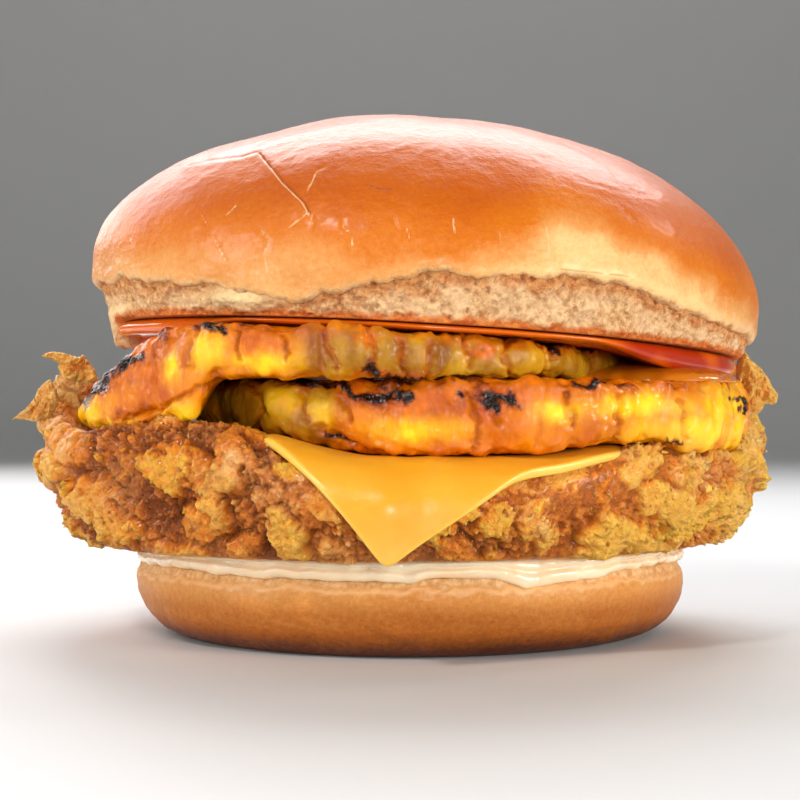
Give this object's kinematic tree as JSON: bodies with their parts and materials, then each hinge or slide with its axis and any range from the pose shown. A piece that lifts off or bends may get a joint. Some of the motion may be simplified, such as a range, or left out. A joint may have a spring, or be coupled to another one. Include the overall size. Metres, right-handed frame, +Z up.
{
  "type": "chicken burger",
  "caption": "Chicken burger: domed glossy bun over grilled pineapple, melted cheese with one hanging corner, craggy fried fillet, cream sauce and red glaze.",
  "frame": {"origin": "on the flat foot of the bun's heel, 1.6 mm left of its middle, under the middle of the burger", "axes": "+Z up through the layers; -Y is the front, where the cheese's corner hangs; +X is the right, the way the crown leans"},
  "size_m": [0.1299, 0.1194, 0.085],
  "materials": {
    "heel_crust": "satin",
    "cream": "gloss",
    "breading": "satin",
    "cheese": "satin",
    "pineapple": "gloss",
    "glaze": "gloss",
    "crown_crust": "satin"
  },
  "bodies": {
    "root": {"bun_heel": "heel_crust", "cream_sauce": "cream", "chicken_fillet": "breading", "cheese_slice": "cheese", "pineapple_lower": "pineapple", "pineapple_upper": "pineapple", "red_glaze": "glaze", "bun_crown": "crown_crust"}
  },
  "joints": []
}
